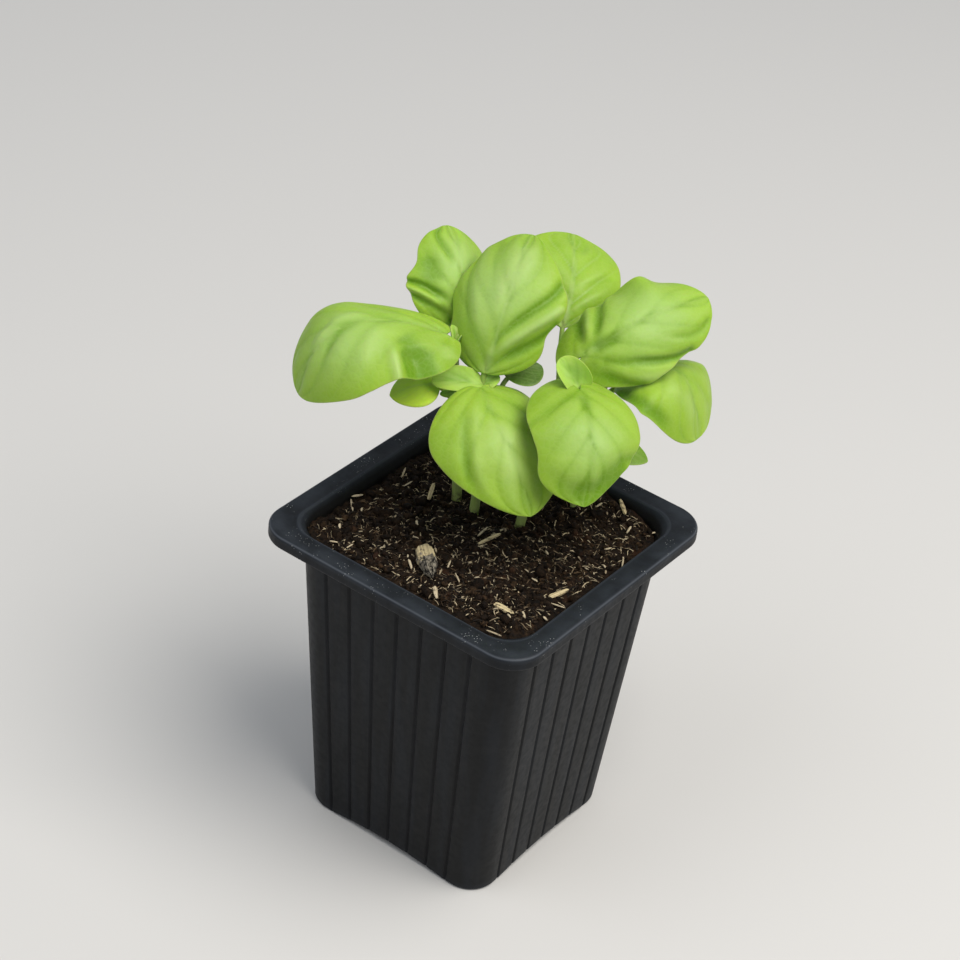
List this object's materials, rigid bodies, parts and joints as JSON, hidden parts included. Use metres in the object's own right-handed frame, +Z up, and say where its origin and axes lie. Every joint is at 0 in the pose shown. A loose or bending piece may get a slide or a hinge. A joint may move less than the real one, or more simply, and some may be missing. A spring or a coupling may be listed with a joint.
{
  "type": "potted basil plant",
  "caption": "Young basil plants with broad puckered leaves, growing in a square black nursery pot filled with peat.",
  "frame": {"origin": "middle of the pot's foot, on the surface that the pot stands on", "axes": "+Z up through the pot and the plant; X and Y square to the pot's sides, -Y and +X the two sides that the picture shows"},
  "size_m": [0.0862, 0.0933, 0.1511],
  "materials": {
    "pot_plastic": "near-black moulded plastic with a satin sheen, fine scuffs and pale mineral specks on the rim",
    "peat": null,
    "wood_chip": "dry split wood and bark, pale tan, matt",
    "stem": null,
    "leaf": null,
    "seed_leaf": null
  },
  "bodies": {
    "root": {"pot": "pot_plastic", "soil": "peat", "bark_chip": "wood_chip", "wood_sliver_centre": "wood_chip", "wood_chip_front": "wood_chip", "wood_chip_right": "wood_chip", "wood_sliver_back": "wood_chip", "wood_sliver_left": "wood_chip", "stem_left": "stem", "stem_centre": "stem", "stem_right": "stem", "stem_back": "stem", "leaf_left": "leaf", "leaf_back_left": "leaf", "leaf_centre": "leaf", "leaf_front_left": "leaf", "leaf_front_right": "leaf", "leaf_back_right": "leaf", "leaf_right": "leaf", "leaf_right_low": "leaf", "seed_leaf_left": "seed_leaf", "seed_leaf_centre": "seed_leaf", "seed_leaf_right": "seed_leaf"}
  },
  "joints": []
}
